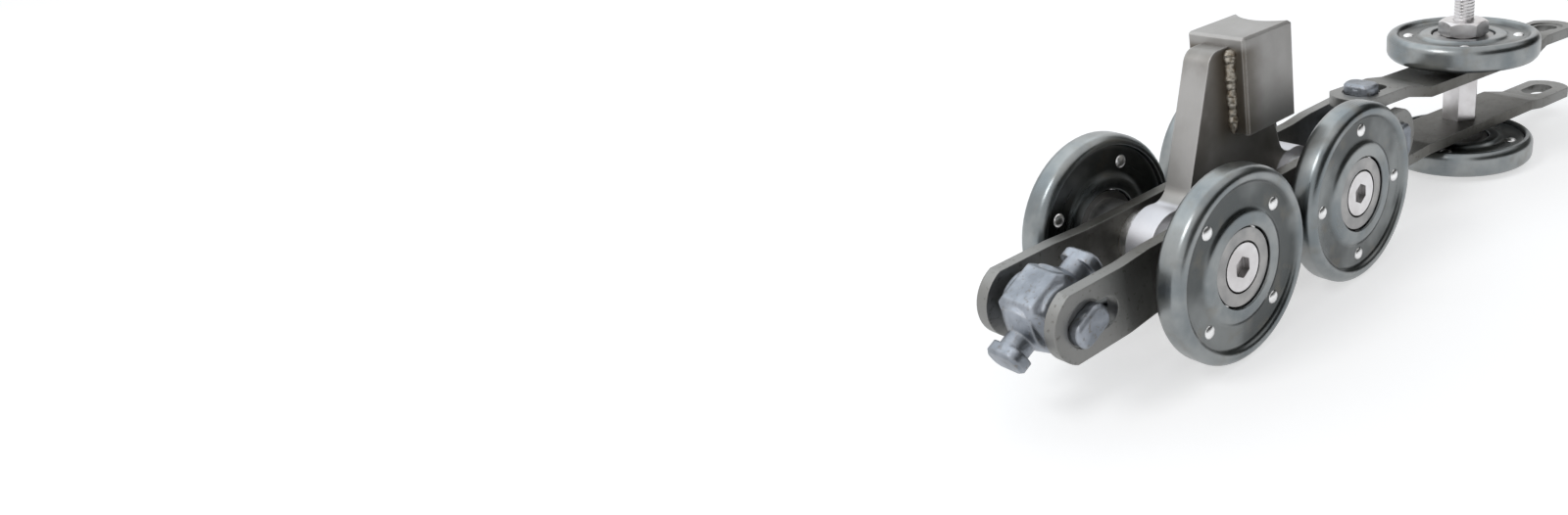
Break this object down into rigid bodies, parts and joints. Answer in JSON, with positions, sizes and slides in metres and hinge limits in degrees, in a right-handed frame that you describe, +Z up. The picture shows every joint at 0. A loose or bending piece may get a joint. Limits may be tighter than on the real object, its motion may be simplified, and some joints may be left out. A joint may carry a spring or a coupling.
{
  "type": "conveyor chain",
  "caption": "Two-axis trolley conveyor chain section: dog link with load wheels, guide link with flat wheels, T-headed crosses between them.",
  "frame": {"origin": "midway between the two load axles, on the chain's centre line at axle height", "axes": "+X along the chain from the lead cross towards the guide link, +Z up towards the pusher dog's top, +Y to the left of that travel"},
  "size_m": [0.3201, 0.069, 0.087],
  "materials": {
    "wheel_steel": "bluish drawn sheet, satin",
    "rivet_steel": "bright pressed heads",
    "ball_steel": "polished, oiled",
    "hub_steel": "turned, dull",
    "zinc_steel": "bright zinc plate",
    "link_plate_steel": "dark hardened strip, oiled",
    "forged_steel": "bluish forging skin",
    "weld_metal": "rippled bead, heat tinted",
    "dog_steel": "plain mill steel, warm grey"
  },
  "bodies": {
    "dog_link": {"dog_plate_left": "link_plate_steel", "dog_plate_right": "link_plate_steel", "dog_web": "dog_steel", "dog_block": "dog_steel", "dog_welds": "weld_metal", "axle_tube_rear": "zinc_steel", "load_axle_rear": "zinc_steel", "load_hub_rear_left": "hub_steel", "load_screw_rear_left": "zinc_steel", "load_hub_rear_right": "hub_steel", "load_screw_rear_right": "zinc_steel", "axle_tube_front": "zinc_steel", "load_axle_front": "zinc_steel", "load_hub_front_left": "hub_steel", "load_screw_front_left": "zinc_steel", "load_hub_front_right": "hub_steel", "load_screw_front_right": "zinc_steel"},
    "load_wheel_rear_left": {"load_wheel_rear_left_outer_shell": "wheel_steel", "load_wheel_rear_left_inner_shell": "wheel_steel", "load_wheel_rear_left_rivets": "rivet_steel", "load_wheel_rear_left_balls": "ball_steel"},
    "load_wheel_rear_right": {"load_wheel_rear_right_outer_shell": "wheel_steel", "load_wheel_rear_right_inner_shell": "wheel_steel", "load_wheel_rear_right_rivets": "rivet_steel", "load_wheel_rear_right_balls": "ball_steel"},
    "load_wheel_front_left": {"load_wheel_front_left_outer_shell": "wheel_steel", "load_wheel_front_left_inner_shell": "wheel_steel", "load_wheel_front_left_rivets": "rivet_steel", "load_wheel_front_left_balls": "ball_steel"},
    "load_wheel_front_right": {"load_wheel_front_right_outer_shell": "wheel_steel", "load_wheel_front_right_inner_shell": "wheel_steel", "load_wheel_front_right_rivets": "rivet_steel", "load_wheel_front_right_balls": "ball_steel"},
    "lead_cross": {"lead_cross": "forged_steel"},
    "mid_cross": {"mid_cross": "forged_steel"},
    "guide_link": {"guide_plate_upper": "link_plate_steel", "guide_plate_lower": "link_plate_steel", "guide_post": "zinc_steel", "guide_bolt": "zinc_steel", "guide_nut": "zinc_steel", "guide_hub_upper": "hub_steel", "guide_hub_lower": "hub_steel"},
    "guide_wheel_upper": {"guide_wheel_upper_outer_shell": "wheel_steel", "guide_wheel_upper_inner_shell": "wheel_steel", "guide_wheel_upper_rivets": "rivet_steel", "guide_wheel_upper_balls": "ball_steel"},
    "guide_wheel_lower": {"guide_wheel_lower_outer_shell": "wheel_steel", "guide_wheel_lower_inner_shell": "wheel_steel", "guide_wheel_lower_rivets": "rivet_steel", "guide_wheel_lower_balls": "ball_steel"}
  },
  "joints": [
    {"name": "load_wheel_rear_left_spin", "type": "hinge", "parent": "dog_link", "child": "load_wheel_rear_left", "pos_m": [-0.03125, 0.0275, 0], "axis": [0, 1, 0], "continuous": true},
    {"name": "load_wheel_rear_right_spin", "type": "hinge", "parent": "dog_link", "child": "load_wheel_rear_right", "pos_m": [-0.03125, -0.0275, 0], "axis": [0, 1, 0], "continuous": true},
    {"name": "load_wheel_front_left_spin", "type": "hinge", "parent": "dog_link", "child": "load_wheel_front_left", "pos_m": [0.03125, 0.0275, 0], "axis": [0, 1, 0], "continuous": true},
    {"name": "load_wheel_front_right_spin", "type": "hinge", "parent": "dog_link", "child": "load_wheel_front_right", "pos_m": [0.03125, -0.0275, 0], "axis": [0, 1, 0], "continuous": true},
    {"name": "lead_cross_pitch", "type": "hinge", "parent": "dog_link", "child": "lead_cross", "pos_m": [-0.08, 0, 0], "axis": [0, 1, 0], "range_deg": [-142, 18]},
    {"name": "mid_cross_pitch", "type": "hinge", "parent": "dog_link", "child": "mid_cross", "pos_m": [0.08, 0, 0], "axis": [0, 1, 0], "range_deg": [-27.48, 22.52]},
    {"name": "guide_link_yaw", "type": "hinge", "parent": "mid_cross", "child": "guide_link", "pos_m": [0.08, 0, 0], "axis": [0.0433, 0, 0.9991], "range_deg": [-19.25, 30.75]},
    {"name": "guide_wheel_upper_spin", "type": "hinge", "parent": "guide_link", "child": "guide_wheel_upper", "pos_m": [0.14552, -0.00651, 0.01818], "axis": [0.0433, 0, 0.9991], "continuous": true},
    {"name": "guide_wheel_lower_spin", "type": "hinge", "parent": "guide_link", "child": "guide_wheel_lower", "pos_m": [0.1437, -0.00651, -0.02378], "axis": [0.0433, 0, 0.9991], "continuous": true}
  ]
}
